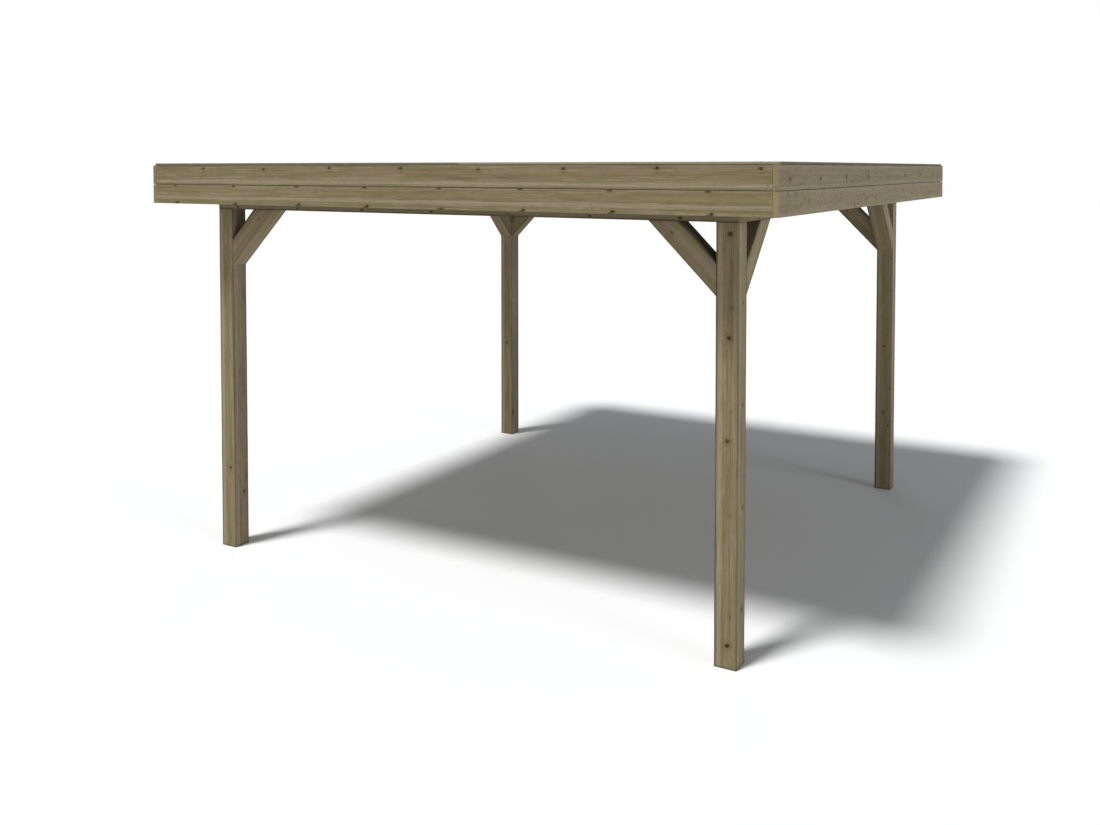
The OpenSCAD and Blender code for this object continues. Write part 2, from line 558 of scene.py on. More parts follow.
# A row of knots: in millimetres, where its first one is along the timber, how far apart they are,
# their place across the face and half their height. Then come how many times longer than high
# they are, how strong they are, and which faces have them.
Knots = namedtuple("Knots", "first pitch across size stretch strength side", defaults=(FACES,))
# A band of sapwood or stain that runs the whole length of a timber, with its place and half its
# width in millimetres
Band = namedtuple("Band", "across width colour strength side", defaults=(FACES,))


def on_side(graph, side, wanted):
    """1 on the wanted faces or sides, and 0 on the others."""
    return graph.minus(1.0, graph.math("ABSOLUTE", graph.minus(side, wanted)))


def knot_row(graph, face, warp, row, number):
    """How much of each point is knot, and how far the knot pushes the rings aside."""
    along, lateral, side = face
    first, pitch, across, size = [length * MM for length in row[:4]]
    place = graph.math("DIVIDE", graph.minus(along, first), pitch)
    nearest = graph.math("ROUND", place)
    # The number of its row gives each knot a luck of its own
    luck = graph.chance(graph.plus(nearest, number * 31.7))
    run = graph.times(graph.minus(place, nearest), pitch / row.stretch)
    stray = graph.times(graph.minus(luck, 0.5), size)
    rise = graph.minus(graph.minus(lateral, across), stray)
    squared = graph.plus(graph.times(run, run), graph.times(rise, rise))
    distance = graph.math("SQRT", squared)
    ragged = graph.math("MULTIPLY_ADD", warp, size * KNOT_RAGGED, distance)
    least = (1 - KNOT_VARIETY) * row.strength
    strength = graph.math("MULTIPLY_ADD", luck, KNOT_VARIETY * row.strength, least)
    share = graph.times(on_side(graph, side, row.side), strength)
    core = graph.times(graph.ease(ragged, size * KNOT_EDGE, size * KNOT_FULL), share)
    fade = graph.math("EXPONENT", graph.math("DIVIDE", squared, -(PUSH_REACH * size) ** 2))
    return core, graph.times(fade, share, PUSH * size)


def all_knots(graph, grain, face, rows):
    """What the knots of all the rows come to."""
    warp = graph.minus(graph.noise(grain, 160.0, 160.0, 1.0), 0.5)
    core, push = 0.0, 0.0
    for number, row in enumerate(rows):
        row_core, row_push = knot_row(graph, face, warp, row, number)
        core = graph.math("MAXIMUM", row_core, core)
        push = graph.plus(row_push, push)
    return core, push


def growth_rings(graph, grain, push, wander_reach):
    """Latewood lines: 1 on a ring's dark edge and 0 in its pale spring wood."""
    _, across, depth = graph.split(grain)
    wander = graph.minus(graph.noise(grain, 1.3, 8.0), 0.5)
    squared = graph.plus(graph.times(across, across), graph.times(depth, depth))
    radius = graph.math("SQRT", squared)
    bent = graph.plus(graph.math("MULTIPLY_ADD", wander, wander_reach, radius), push)
    ring = graph.math("FRACT", graph.math("DIVIDE", bent, RING_WIDTH))
    return graph.times(graph.ease(ring, 0.35, 0.88), graph.ease(ring, 0.90, 1.0, 1.0, 0.0))


def sawn_colour(graph, grain, figure):
    """Paler and darker streaks along the grain, and clouds of olive and pink."""
    streak = graph.noise(grain, 2.2, 75.0, 3.0, 0.6)
    dash = graph.noise(grain, 6.0, 190.0, 2.0, 0.55)
    cloud = graph.noise(grain, 2.0, 9.0)
    patch = graph.noise(grain, 7.0, 26.0)
    return graph.layers(WOOD_MID, [
        (streak, 0.44, 0.70, 0.9 * figure, WOOD_LIGHT),
        (streak, 0.50, 0.30, 0.9 * figure, WOOD_DARK),
        (dash, 0.54, 0.70, 0.5 * figure, WOOD_LIGHT),
        (dash, 0.46, 0.30, 0.6 * figure, WOOD_DARK),
        (cloud, 0.50, 0.70, 0.65, WOOD_OLIVE),
        (cloud, 0.50, 0.30, 0.60, WOOD_PINK),
        (patch, 0.52, 0.66, 0.60, WOOD_OLIVE),
        (patch, 0.48, 0.34, 0.60, WOOD_PINK),
    ])


def banded(graph, colour, grain, face, bands, sway):
    """Lays bands over a colour, which wander a little across the face."""
    _, lateral, side = face
    flow = graph.noise(grain, 1.5, 22.0)
    drift = graph.times(graph.minus(flow, 0.5), 2 * sway)
    for band in bands:
        offset = graph.minus(graph.minus(lateral, band.across * MM), drift)
        width = band.width * MM
        inside = graph.ease(graph.math("ABSOLUTE", offset), width, width * 0.3)
        share = graph.times(inside, on_side(graph, side, band.side), band.strength)
        colour = graph.mix(share, colour, band.colour)
    return colour


def post_shade_and_damp(graph, colour, face, side_shade, foot_shade):
    """Painted shade on a post's left and right faces, painted light and shade that grow darker
    towards its foot, and a damp stain at the foot.
    """
    along, _, side = face
    # Painted shade: the left and right faces are darkened
    colour = graph.brighten(colour, graph.math("MULTIPLY_ADD", side, -side_shade, 1.0))
    # Painted light and shade along the post: lighter high up and darker towards the foot
    foot = 1 - foot_shade * FOOT_SHADE_LEVEL
    colour = graph.brighten(colour, graph.math("MULTIPLY_ADD", along, foot_shade, foot))
    return graph.layers(colour, [(along, DAMP_REACH, 0.5 * DAMP_REACH, DAMP, WOOD_WORN_AND_SHADED)])


def wood(name, knots, bands=(), sway=6 * MM, silver=0.0, mottle=0.2, figure=1.0, post=None):
    """Sawn and weathered pine.

    Sway is how far its bands wander, silver how grey it is, mottle how strong its dark spots are
    and figure how strong its streaks are. Post is a post's painted shade on its sides and towards
    its foot.
    """
    graph = Surface(name)
    grain = graph.attribute("grain")
    face = graph.split(graph.attribute("face"))
    tone, hue, wear = graph.split(graph.attribute("tone_wear_and_shade"))
    unmarked = graph.minus(1.0, wear)
    core, push = all_knots(graph, grain, face, knots)
    core = graph.times(core, unmarked)
    latewood = growth_rings(graph, grain, push, FACE_WANDER)
    fibre = graph.noise(grain, 14.0, 700.0, 2.0, 0.6)
    stain = graph.noise(grain, 5.0, 30.0, 3.0, 0.65)
    spots = graph.noise(grain, 32.0, 36.0, 3.0, 0.6)
    heart_rings = graph.ease(graph.math("PINGPONG", core, 0.14), 0.03, 0.11)

    colour = banded(graph, sawn_colour(graph, grain, figure), grain, face, bands, sway)
    colour = graph.mix(silver, colour, WOOD_SILVER)
    colour = graph.mix(graph.times(latewood, LATEWOOD * figure), colour, WOOD_LATE)
    colour = graph.layers(colour, [
        (spots, 0.52, 0.72, mottle, WOOD_DARK),
        (fibre, 0.55, 0.36, 0.35, WOOD_DARK),
        (stain, 0.62, 0.80, 0.5, WOOD_DARK),
        (graph.times(push, 45.0, unmarked), 0.0, 1.0, 0.6, WOOD_LATE),
        (core, 0.0, 0.9, 0.95, graph.mix(heart_rings, KNOT_RIM, KNOT_HEART)),
    ])
    colour = graph.mix(graph.times(hue, 0.5), colour, WOOD_PINK)
    # Wear darkens the worn arrises; the same channel paints shade into the joints under the battens
    # and on the braces' upper faces
    worn_and_shaded = graph.times(wear, graph.ease(stain, 0.25, 0.75, 0.60, 0.95))
    colour = graph.mix(worn_and_shaded, colour, WOOD_WORN_AND_SHADED)
    if post:
        colour = post_shade_and_damp(graph, colour, face, *post)
    graph.set_colour(colour, tone)

    graph.set("Roughness", graph.ease(fibre, 0.3, 0.7, 0.86, 0.70))
    graph.set("Specular IOR Level", WOOD_SHINE)
    ridges = graph.math("MULTIPLY_ADD", latewood, 0.5, fibre)
    relief = graph.math("MULTIPLY_ADD", core, 0.8, ridges)
    graph.bump(relief, 0.7 * MM, 0.55)
    return graph.material


def end_grain():
    """A timber's sawn end: arcs of the rings, fine pores and a few radial checks."""
    graph = Surface("end_grain")
    grain = graph.attribute("grain")
    tone, _, wear = graph.split(graph.attribute("tone_wear_and_shade"))
    latewood = growth_rings(graph, grain, 0.0, END_WANDER)
    _, across, depth = graph.split(grain)
    pores = graph.noise(grain, 0.0, 1500.0, 2.0, 0.7)
    patch = graph.noise(grain, 3.0, 25.0)
    bearing = graph.times(graph.math("ARCTAN2", across, depth), 9.0)
    spoke = graph.math("SINE", graph.math("MULTIPLY_ADD", patch, 3.0, bearing))
    crack = graph.ease(graph.math("ABSOLUTE", spoke), 0.06, 0.015)
    split = graph.times(crack, graph.ease(patch, 0.48, 0.6))
    colour = graph.layers(END_GRAIN, [(patch, 0.35, 0.65, 0.3, WOOD_TAN)])
    colour = graph.mix(graph.times(latewood, LATEWOOD), colour, END_DARK)
    colour = graph.layers(colour, [(pores, 0.55, 0.35, 0.3, END_DARK)])
    colour = graph.mix(graph.times(split, 0.7), colour, WOOD_WORN_AND_SHADED)
    colour = graph.mix(graph.times(wear, 0.3), colour, WOOD_WORN_AND_SHADED)
    graph.set_colour(colour, tone)
    graph.set("Roughness", graph.ease(pores, 0.3, 0.7, 0.92, 0.8))
    graph.set("Specular IOR Level", WOOD_SHINE)
    graph.bump(graph.minus(pores, split), 0.8 * MM, 0.6)
    return graph.material


# A pitch longer than a post leaves a row with one knot
ONCE = 4000

# How light each post is, how red, how much darker painted shade makes its left and right faces, and
# how much painted shade darkens it with each metre towards its foot
POST_TONE_AND_SHADE = {
    "front_left": (0.09, 0.0, 0.18, 0.03),
    "front_right": (0.02, 0.0, 0.0, 0.015),
    "rear_left": (0.10, 0.0, 0.25, 0.10),
    "rear_right": (0.01, 0.4, 0.0, 0.09),
}

POST_KNOTS = {
    "front_left": [
        Knots(534, ONCE, 24, 8.5, 1.0, 0.95),
        Knots(1240, ONCE, -20, 8, 1.4, 0.25),
        Knots(357, ONCE, 28, 9, 1.3, 0.95, SIDES),
        Knots(448, 1229, 37, 8, 6.0, 0.45, SIDES),
        Knots(1090, ONCE, 28, 8, 15.0, 0.4, SIDES),
    ],
    "front_right": [
        Knots(121, 1038, 10, 11.5, 0.8, 1.0),
        Knots(1677, ONCE, 11, 11.5, 0.8, 1.0),
        Knots(787, 1042, 25, 9, 0.9, 0.5),
        Knots(272, 1038, 25, 8, 1.2, 0.35),
        Knots(291, ONCE, 20, 8, 1.2, 0.9, SIDES),
        Knots(440, 526, 36, 7, 1.3, 0.5, SIDES),
        Knots(1332, 520, 12, 8, 1.3, 0.8, SIDES),
    ],
    "rear_left": [
        Knots(872, ONCE, 0, 9, 0.9, 0.95),
        Knots(210, ONCE, -53, 10, 2.2, 1.0, SIDES),
        Knots(726, 520, -54, 8, 1.6, 0.8, SIDES),
        Knots(869, ONCE, -5, 8, 1.2, 0.35, SIDES),
    ],
    "rear_right": [
        Knots(610, ONCE, 0, 9.5, 0.7, 0.95),
        Knots(1130, ONCE, 0, 9.5, 0.9, 0.95),
        Knots(90, ONCE, 0, 9.5, 0.7, 0.8),
        Knots(507, ONCE, 36, 7.5, 1.0, 0.9),
        Knots(391, ONCE, -8, 9, 3.0, 0.35),
        Knots(798, 256, 52, 7, 1.2, 0.65),
        Knots(601, 520, 22, 7, 1.2, 0.6, SIDES),
    ],
}


def post_wood(side, side_shade, foot_shade):
    """A post's own knots, and long bands of paler and darker wood near its arrises."""
    bands = [
        Band(-36, 18, WOOD_PALE, 0.8),
        Band(8, 30, WOOD_TAN, 0.4),
        Band(45, 13, WOOD_ROSE, 0.35),
        Band(-32, 20, WOOD_ROSE, 0.8, SIDES),
        Band(8, 18, WOOD_ROSE, 0.35, SIDES),
        Band(36, 20, WOOD_PINK, 0.7, SIDES),
    ]
    return wood("post_wood_" + side, POST_KNOTS[side], bands, figure=1.2, post=(side_shade, foot_shade))


def upper_board_wood():
    """The long upper fascia boards: a knot each half metre near the top, with a short bar below."""
    pitch = 520.8
    knots = [
        Knots(434, pitch, 40, 7, 1.3, 1.1),
        Knots(424, pitch, 38, 3.5, 4.0, 0.45),
        Knots(439, pitch, 20, 3, 5.0, 0.5),
        Knots(180, pitch, -52, 2.5, 4.0, 0.3),
    ]
    bands = [
        Band(-41, 17, WOOD_PALE, 0.75),
        Band(12, 16, WOOD_TAN, 0.5),
        Band(-8, 9, WOOD_DARK, 0.2),
    ]
    return wood("upper_board_wood", knots, bands, 9 * MM)


def lower_board_wood():
    """The long lower fascia boards: knots low down and along the seam."""
    pitch = 520.5
    knots = [
        Knots(196, pitch, -51, 7, 1.4, 1.1),
        Knots(180, pitch, -55, 4, 3.5, 0.8),
        Knots(177, pitch, 57, 5, 3.0, 1.0),
        Knots(400, pitch, 36, 4, 2.5, 0.35),
    ]
    bands = [
        Band(-20, 14, WOOD_PALE, 0.75),
        Band(28, 18, WOOD_TAN, 0.5),
        Band(-56, 10, WOOD_LIGHT, 0.25),
    ]
    return wood("lower_board_wood", knots, bands, 9 * MM)


SIDE_BOARD_KNOTS = {
    "upper": [
        Knots(161, 514, -8, 10, 1.2, 1.1),
        Knots(330, 514, -34, 5, 2.0, 0.45),
        Knots(90, 514, 22, 5, 1.6, 0.35),
    ],
    "lower": [
        Knots(120, 1330, -34, 5, 1.2, 0.8),
        Knots(470, 1334, 5, 6, 1.1, 0.7),
        Knots(315, 665, -14, 7, 1.0, 0.3),
    ],
}


def side_board_wood(level):
    """The side fascia boards: round knots half way down the upper one, small ones on the lower."""
    bands = [
        Band(-50, 14, WOOD_PALE, 0.45),
        Band(52, 16, WOOD_PALE, 0.45),
        Band(20, 18, WOOD_TAN, 0.25),
    ]
    mottle = 0.6 if level == "upper" else 0.95
    return wood(f"side_{level}_board_wood", SIDE_BOARD_KNOTS[level], bands, 9 * MM, silver=0.35,
                mottle=mottle)


def beam_wood():
    """The beams: knots along the lower edge, where they show below the fascia."""
    knots = [Knots(176, 520.5, -46, 6, 1.6, 0.9, SIDES), Knots(410, 620, 12, 7, 1.2, 0.7)]
    bands = [Band(-42, 14, WOOD_LIGHT, 0.5, SIDES), Band(0, 25, WOOD_PALE, 0.35)]
    return wood("beam_wood", knots, bands)


def brace_wood():
    """The knee braces: paler streaks, and a knot or two."""
    knots = [Knots(390, 600, -8, 8, 1.3, 0.6), Knots(150, 330, 28, 6, 1.4, 0.5, SIDES)]
    bands = [Band(8, 20, WOOD_ROSE, 0.5), Band(-25, 18, WOOD_ROSE, 0.6, SIDES)]
    return wood("brace_wood", knots, bands, 4 * MM, figure=0.5)


def joist_wood():
    """Joists, with a few scattered knots."""
    knots = [Knots(310, 730, 22, 8, 1.2, 0.9), Knots(120, 610, -38, 5, 1.5, 0.7)]
    return wood("joist_wood", knots)


def deck_wood():
    """Deck boards: a pale band along each, and a knot here and there."""
    knots = [Knots(270, 640, 24, 8, 1.3, 0.9)]
    bands = [Band(-20, 30, WOOD_LIGHT, 0.5)]
    return wood("deck_wood", knots, bands, 8 * MM)


def batten_wood():
    """The roof-edge battens, weathered grey."""
    knots = [Knots(350, 770, 6, 4, 1.4, 0.7)]
    bands = [Band(-8, 12, WOOD_PALE, 0.45)]
    return wood("batten_wood", knots, bands, 4 * MM, silver=0.75)


# ---- other materials

FELT_DARK = srgb(44, 46, 46)
FELT_PALE = srgb(92, 94, 92)
FELT_GRIT = srgb(146, 148, 144)
FELT_FADED = srgb(84, 84, 78)
FELT_TAR = srgb(27, 27, 28)
STEEL_BROWN = srgb(96, 84, 60)
STEEL_RUBBED = srgb(128, 118, 96)


def felt():
    """Mineral roofing felt: pale and dark grit, worn in patches, with tar at each strip's edge."""
    graph = Surface("roofing_felt")
    place = graph.add("ShaderNodeTexCoord")["Object"]
    grit = graph.add("ShaderNodeTexVoronoi", {"Vector": place, "Scale": 420.0}, feature="F1")
    speck = graph.split(grit["Color"])[0]
    patch = graph.noise(place, 2.2, 5.0, 3.0, 0.6)
    seep = graph.noise(place, 9.0, 9.0, 3.0, 0.6)
    from_edge = graph.split(graph.attribute("face"))[1]
    tone = graph.split(graph.attribute("tone_wear_and_shade"))[0]
    reach = graph.math("MULTIPLY_ADD", seep, -TAR_SEEP, from_edge)
    colour = graph.layers(FELT_DARK, [
        (speck, 0.2, 0.9, 1.0, FELT_PALE),
        (speck, 0.93, 0.98, 0.8, FELT_GRIT),
        (patch, 0.4, 0.7, 0.4, FELT_FADED),
        (reach, 6 * MM, -4 * MM, 0.85, FELT_TAR),
    ])
    graph.set_colour(colour, tone)
    graph.set("Roughness", graph.ease(speck, 0.0, 1.0, 0.95, 0.82))
    graph.set("Specular IOR Level", 0.25)
    graph.bump(grit["Distance"], 0.9 * MM, 0.7)
    return graph.material


def coated_steel():
    """Screws and nails with a dull brown coating, rubbed in places."""
    graph = Surface("coated_steel")
    place = graph.add("ShaderNodeTexCoord")["Object"]
    rub = graph.noise(place, 900.0, 900.0, 2.0, 0.6)
    graph.set("Base Color", graph.mix(graph.ease(rub, 0.4, 0.7), STEEL_BROWN, STEEL_RUBBED))
    graph.set("Metallic", 0.55)
    graph.set("Roughness", graph.ease(rub, 0.35, 0.7, 0.62, 0.42))
    graph.bump(rub, 0.1 * MM, 0.4)
    return graph.material


WOOD_ENDS = end_grain()
STEEL = coated_steel()
# Picks a number between two others, the same in every run
choose = random.Random(41).uniform


# ---- posts, beams and braces


def drying_checks(count, length):
    """Fine cracks along the grain from drying, on each of the four faces in turn."""
    checks = []
    for index in range(count):
        span = choose(0.18, 0.34) * length
        start = choose(0.04, 0.92) * (length - span)
        lateral = choose(-30, 30) * MM
        gap = choose(0.5, 1.1) * MM
        checks.append(Check(index % 4, lateral, start, span, gap))
    return checks


def chosen_pith(reach, depth):
    """The log's heart: within a reach across the section and at a depth, in millimetres."""
    return (choose(-reach, reach) * MM, depth * MM)


def make_timber(name, timber, material, node):
    """One timber as a piece of its own."""
    piece = Piece()
    piece.add_timber(timber)
    piece.build(name, [material, WOOD_ENDS], [node])


def square_timber(node, names, material, tone, hue, check_count):
    """A post or beam, sawn with the heart of the log inside it."""
    ways, (length, width, thickness), origin = measured(node, names)
    pith = (choose(-14, 14) * MM, choose(-14, 14) * MM)
    checks = drying_checks(check_count, length)
    corners = rectangle(width, thickness, TIMBER_ARRIS, 1.0)
    timber = Timber(placing(origin, *ways), length, corners, pith, choose(*LOG), tone, hue,
                    checks, step=TIMBER_STEP)
    make_timber(node + "_timber", timber, material, node)


def make_posts():
    for side, (tone, hue, side_shade, foot_shade) in POST_TONE_AND_SHADE.items():
        material = post_wood(side, side_shade, foot_shade)
        square_timber("post_" + side, "+Z +X +Y", material, tone, hue, POST_CHECKS)


def make_beams():
    material = beam_wood()
    # The left and right beams have a lighter tone as painted light, brightening their outer faces
    # in the shade under the roof's overhang
    layout = [
        ("front", "+X +Y +Z", -0.04, 0.0), ("rear", "+X +Y +Z", -0.04, 0.0),
        ("left", "+Y +X +Z", 0.10, 0.1), ("right", "+Y +X +Z", 0.10, 0.1),
    ]
    for side, names, tone, hue in layout:
        square_timber("beam_" + side, names, material, tone, hue, BEAM_CHECKS)


def make_brace(side, end, material, screws):
    """The knee brace at one end of the beam on one side, rising at 45 degrees from its post."""
    node = f"brace_{side}_beam_{end}"
    up, away, out = axis("+Z"), -axis(OUTWARD[end]), axis(OUTWARD[side])
    along, across = (up + away).normalized(), (up - away).normalized()
    low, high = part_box(node)
    length = (high.z - low.z) * math.sqrt(2)
    foot = box_centre(node) - away * box_size(node, away) / 2
    foot.z = low.z
    place = placing(foot + across * BRACE_DEPTH / 2, along, across, out)
    # The brace's upper face carries painted shade
    corners = rectangle(BRACE_DEPTH, box_size(node, out), TIMBER_ARRIS, 0.9, BRACE_SHADE)
    timber = Timber(place, length, corners, chosen_pith(30, -75), choose(*LOG),
                    choose(*BRACE_TONES), BRACE_HUE, slant=1.0, step=TIMBER_STEP)
    make_timber(node + "_timber", timber, material, node)
    for reach in (BRACE_SCREW_INSET, length - BRACE_SCREW_INSET):
        for offset in (-BRACE_SCREW_OFFSET, BRACE_SCREW_OFFSET):
            add_screw(screws, foot + along * reach + out * offset, -across, SCREW_RADIUS)


def make_braces():
    """Eight braces, and the screws in their sloping undersides."""
    material = brace_wood()
    screws = Piece()
    long_sides, short_sides = ("front", "rear"), ("left", "right")
    for ends, sides in ((short_sides, long_sides), (long_sides, short_sides)):
        for end in ends:
            for side in sides:
                make_brace(side, end, material, screws)
    screws.build("brace_screws", [STEEL])


# ---- screws and nails


def add_screw(piece, point, outward, radius):
    """A countersunk head, its dome just proud of the surface, with a six-sided socket."""
    turn = outward.to_track_quat("Z", "Y").to_matrix()
    first = len(piece.points)
    for share, height in SCREW_RINGS:
        for index in range(SCREW_SIDES):
            bearing = index / SCREW_SIDES * math.tau
            reach = radius * share
            if share < SOCKET_SHARE and index % 2:
                reach *= SOCKET_FLAT
            spot = (reach * math.cos(bearing), reach * math.sin(bearing), height * SCREW_DOME)
            piece.add_point(point + turn @ Vector(spot))
    piece.add_tube(first, len(SCREW_RINGS))


# ---- roof structure


def make_joists():
    material = joist_wood()
    for name in [name for name in sorted(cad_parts) if "joist" in name]:
        ways, (length, height, width), origin = measured(name, "+Y +Z +X")
        pith = chosen_pith(25, -60)
        corners = rectangle(height, width, BOARD_ARRIS, 0.5)
        timber = Timber(placing(origin, *ways), length, corners, pith, choose(*LOG),
                        choose(*JOIST_TONES))
        make_timber(name + "_timber", timber, material, name)


def deck_section(width, thickness):
    """A deck board: square on top, with its lower edges cut back for a V joint."""
    half, deep = width / 2, thickness / 2
    return [
        Corner(-half + DECK_JOINT, -deep),
        Corner(half - DECK_JOINT, -deep),
        Corner(half, -deep + DECK_JOINT),
        Corner(half, deep),
        Corner(-half, deep),
        Corner(-half, -deep + DECK_JOINT),
    ]


def make_deck():
    """Tongue-and-groove boards laid across the joists, seen from below between them."""
    ways, (length, spread, thickness), _ = measured("roof_deck", "+X +Y +Z")
    low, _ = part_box("roof_deck")
    pitch = spread / DECK_BOARDS
    corners = deck_section(pitch - DECK_GAP, thickness)
    piece = Piece()
    for index in range(DECK_BOARDS):
        origin = Vector((low.x, low.y + (index + 0.5) * pitch, low.z + thickness / 2))
        piece.add_timber(Timber(
            placing(origin, *ways), length, corners, chosen_pith(30, 70), choose(*LOG),
            choose(*DECK_TONES), choose(*DECK_HUES), step=DECK_STEP,
        ))
    piece.build("roof_deck_boards", [deck_wood(), WOOD_ENDS], ["roof_deck"])


def lift_over_lap(offset, strip):
    """How far, in thicknesses, a strip is lifted near its edge by the strip before."""
    if strip == 0:
        return 0.0
    share = min(max((offset - FELT_LAP) / FELT_LAP, 0.0), 1.0)
    return 1 - share * share * (3 - 2 * share)


def add_felt_strip(piece, strip, width, low, high):
    """One strip of felt, from the left to the right batten, rippled a little."""
    thickness = high.z - low.z
    start = low.y + strip * (width - FELT_LAP)
    tone = choose(*FELT_TONES)
    first = len(piece.points)
    offsets = [width * step / FELT_STEPS_ACROSS for step in range(FELT_STEPS_ACROSS + 1)]
    for step in range(FELT_STEPS_ALONG + 1):
        x = low.x + (high.x - low.x) * step / FELT_STEPS_ALONG
        ring = []
        for offset in offsets:
            # Two or three ripples a metre, and each strip has its own
            spot = Vector((x * 2.1, (start + offset) * 3.3, strip * 5.0))
            ripple = FELT_RIPPLE * (0.5 + 0.5 * noise.noise(spot))
            ring.append((offset, low.z + thickness * lift_over_lap(offset, strip) + ripple))
        for points, raised in ((ring, 0.0), (reversed(ring), thickness)):
            for offset, z in points:
                piece.add_point((x, start + offset, z + raised), face=(x, offset, 0.0),
                                tone_wear_and_shade=(tone, 0.0, 0.0))
    piece.add_tube(first, FELT_STEPS_ALONG + 1)


def make_felt():
    """Strips of felt, each lapped on to the one in front."""
    low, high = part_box("roof_felt")
    width = (high.y - low.y + (FELT_STRIPS - 1) * FELT_LAP) / FELT_STRIPS
    piece = Piece()
    for strip in range(FELT_STRIPS):
        add_felt_strip(piece, strip, width, low, high)
    piece.build("roof_felt_strips", [felt()], ["roof_felt"])


# ---- fascia and edge battens


def upper_section(thickness, lap):
    """The upper fascia board, with the rebate that covers the lower board's tongue."""
    half, inner, outer = BOARD_FACE / 2, -thickness / 2, thickness / 2 - SKIN
    rebate_top = -half + lap + LAP_CLEARANCE
    rebate_face = inner + TONGUE + LAP_CLEARANCE
    return [
        Corner(-half - SEAM_LIP, rebate_face),
        Corner(rebate_top, rebate_face),
        Corner(rebate_top, inner),
        Corner(half, inner),
        # Painted shade: this arris and its narrow band paint the shadow in the joint under the
        # batten
        Corner(half, outer, SHARP_ARRIS, 1.0, JOINT_SHADE_BAND),
        Corner(-half - SEAM_LIP, outer, SHARP_ARRIS),
    ]


def lower_section(thickness, tongue_top):
    """The lower fascia board, with its tongue standing up on the inner side."""
    half, inner, outer = BOARD_FACE / 2, -thickness / 2, thickness / 2 - SKIN
    return [
        Corner(-half, inner),
        Corner(tongue_top - half, inner),
        Corner(tongue_top - half, inner + TONGUE),
        Corner(half + SEAM_LIP, inner + TONGUE),
        Corner(half + SEAM_LIP, outer, SHARP_ARRIS),
        Corner(-half, outer, SHARP_ARRIS),
    ]


def fascia_board(side, level, along, material, tone, hue, screws):
    """One fascia board, and its screws, which meet the joists where these end behind it."""
    node = f"fascia_{side}_{level}"
    ways, (length, height, thickness), origin = measured(node, f"{along} +Z {OUTWARD[side]}")
    low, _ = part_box(node)
    origin.z = low.z + BOARD_FACE / 2
    if level == "upper":
        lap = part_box(f"fascia_{side}_lower")[1].z - low.z
        corners = upper_section(thickness, lap)
    else:
        corners = lower_section(thickness, height)
    timber = Timber(placing(origin, *ways), length, corners, chosen_pith(35, -85), choose(*LOG),
                    tone, hue)
    make_timber(node + "_board", timber, material, node)
    if along == "+X":
        places = [box_centre(name).x - origin.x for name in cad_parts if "joist" in name]
    else:
        places = evenly(length, SIDE_SCREW_INSET, SIDE_SCREW_PITCH)
    for place in places:
        for rise in (-FASCIA_SCREW_OFFSET, FASCIA_SCREW_OFFSET):
            point = origin + ways[0] * place + ways[2] * (thickness / 2 - SKIN)
            add_screw(screws, point + ways[1] * rise, ways[2], SCREW_RADIUS)


def make_fascia():
    """Two boards on each side of the roof, screwed to the joists behind them."""
    long_wood = {"upper": upper_board_wood(), "lower": lower_board_wood()}
    side_wood = {level: side_board_wood(level) for level in SIDE_BOARD_KNOTS}
    screws = Piece()
    layout = [
        ("front", "+X", long_wood, (0.0, 0.0), 0.0),
        ("rear", "+X", long_wood, (0.0, 0.0), 0.0),
        ("left", "+Y", side_wood, (-0.14, -0.08), 0.3),
        ("right", "+Y", side_wood, (-0.04, 0.02), 0.3),
    ]
    for side, along, woods, tones, hue in layout:
        for (level, material), tone in zip(woods.items(), tones):
            fascia_board(side, level, along, material, tone, hue, screws)
    screws.build("fascia_screws", [STEEL])


def batten_section(width, thickness):
    """An edge batten, with painted shade along its lower edges, where it sits on the fascia and the
    felt.
    """
    half, deep = width / 2, thickness / 2
    return [
        Corner(-half, -deep, SHARP_ARRIS, 1.0, JOINT_SHADE_BAND),
        Corner(half, -deep, SHARP_ARRIS, 1.0, JOINT_SHADE_BAND),
        Corner(half, deep, BOARD_ARRIS, 0.1),
        Corner(-half, deep, BOARD_ARRIS, 0.1),
    ]


def make_battens():
    """Thin battens round the roof's edge, nailed down through the felt."""
    material = batten_wood()
    nails = Piece()
    up = axis("+Z")
    layout = [
        ("trim_front_long", "+X +Y +Z", -0.12), ("trim_front_short", "+X +Y +Z", 0.38),
        ("trim_rear_long", "+X +Y +Z", 0.0), ("trim_rear_short", "+X +Y +Z", 0.15),
        ("trim_left", "+Y +X +Z", -0.05), ("trim_right", "+Y +X +Z", -0.25),
    ]
    for node, names, tone in layout:
        ways, (length, width, height), origin = measured(node, names)
        corners = batten_section(width, height - SKIN)
        timber = Timber(placing(origin - up * SKIN / 2, *ways), length, corners,
                        chosen_pith(20, -50), choose(*LOG), tone)
        make_timber(node + "_batten", timber, material, node)
        for place in evenly(length, NAIL_INSET, NAIL_PITCH):
            top = origin + ways[0] * place + up * (height / 2 - SKIN)
            add_screw(nails, top, up, NAIL_RADIUS)
    nails.build("batten_nails", [STEEL])


# ---- studio

WHITE = (1.0, 1.0, 1.0, 1.0)
FLOOR_SEEN = srgb(247, 249, 252)
FLOOR_LIT = srgb(216, 216, 216)
FLOOR_REACH = 60.0
# What the dome of the sky gives a white surface, and its colour
DOME_LEVEL = 0.19
DOME_COLOUR = (0.945, 0.966, 0.982, 1.0)
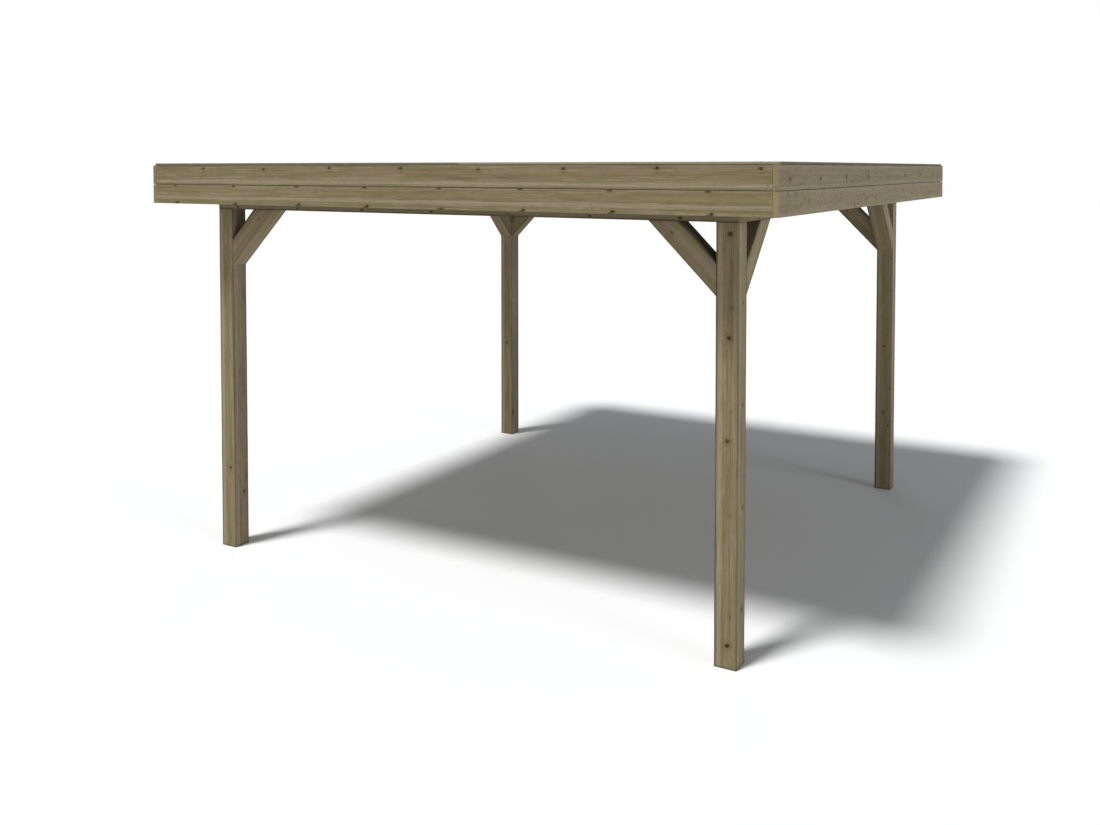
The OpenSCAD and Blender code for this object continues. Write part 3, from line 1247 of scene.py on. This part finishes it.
# Each far lamp: which way its light travels, what it gives a white surface that faces it, how many
# degrees wide it is, and its colour
LAMPS = {
    "key": ((0.194, 0.455, -1.0), 0.94, 11.5, (1.0, 0.985, 0.955)),
    "fill_front": ((0.10, 1.0, -0.10), 0.12, 30.0, (1.0, 1.0, 1.0)),
    "fill_right": ((-1.0, 0.22, -0.06), 0.58, 25.0, (0.93, 0.97, 1.0)),
    "fill_behind": ((0.55, -1.0, -0.04), 0.28, 25.0, (1.0, 1.0, 1.0)),
}
# Where the camera stands, its lens and its shift, and how many degrees it dips and turns
EYE = (3.611, -6.795, 2.524)
LENS = 34.743
SHIFT = -0.1873
DIP = 2.073
TURN = 29.958


def make_floor():
    """A plain pale floor, which the camera sees as white, though little light bounces off it."""
    reach = FLOOR_REACH
    corners = [(-reach, -reach, 0), (reach, -reach, 0), (reach, reach, 0), (-reach, reach, 0)]
    mesh = bpy.data.meshes.new("floor")
    mesh.from_pydata(corners, [], [(0, 1, 2, 3)])
    graph = Surface("floor_paint")
    graph.set("Base Color", graph.mix(graph.seen(), FLOOR_LIT, FLOOR_SEEN))
    graph.set("Roughness", 1.0)
    graph.set("Specular IOR Level", 0.0)
    mesh.materials.append(graph.material)
    floor = add_object("floor", mesh)
    floor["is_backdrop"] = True


def make_world():
    """An even dome of light, which the camera and reflections see as white."""
    world = bpy.data.worlds.new("studio")
    bpy.context.scene.world = world
    graph = Graph(world)
    dome = graph.add("ShaderNodeBackground", {"Color": DOME_COLOUR, "Strength": DOME_LEVEL})[0]
    white = graph.add("ShaderNodeBackground", {"Color": WHITE})[0]
    light = graph.add("ShaderNodeMixShader", {0: graph.seen(), 1: dome, 2: white})[0]
    graph.add("ShaderNodeOutputWorld", {"Surface": light})


def make_lamps():
    for name, (travel, level, width, colour) in LAMPS.items():
        lamp = bpy.data.lights.new(name, "SUN")
        lamp.energy = level * math.pi
        lamp.angle = math.radians(width)
        lamp.color = colour
        holder = add_object(name, lamp)
        holder.rotation_mode = "QUATERNION"
        holder.rotation_quaternion = Vector(travel).to_track_quat("-Z", "Y")


def make_camera():
    """Eye level with the roof, in front and to the right, with its axis dipped a little."""
    camera = bpy.data.cameras.new("camera")
    camera.sensor_width = 36.0
    camera.lens = LENS
    camera.shift_y = SHIFT
    holder = add_object("camera", camera)
    holder.location = EYE
    holder.rotation_euler = (math.radians(90 - DIP), 0.0, math.radians(TURN))
    bpy.context.scene.camera = holder


make_posts()
make_beams()
make_braces()
make_joists()
make_deck()
make_felt()
make_fascia()
make_battens()
make_floor()
make_world()
make_lamps()
make_camera()
bpy.context.scene.view_settings.view_transform = "Standard"

boxes = {"cad": CAD_BOX, "visual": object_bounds()}
{name: [list(corner) for corner in box] for name, box in boxes.items()}
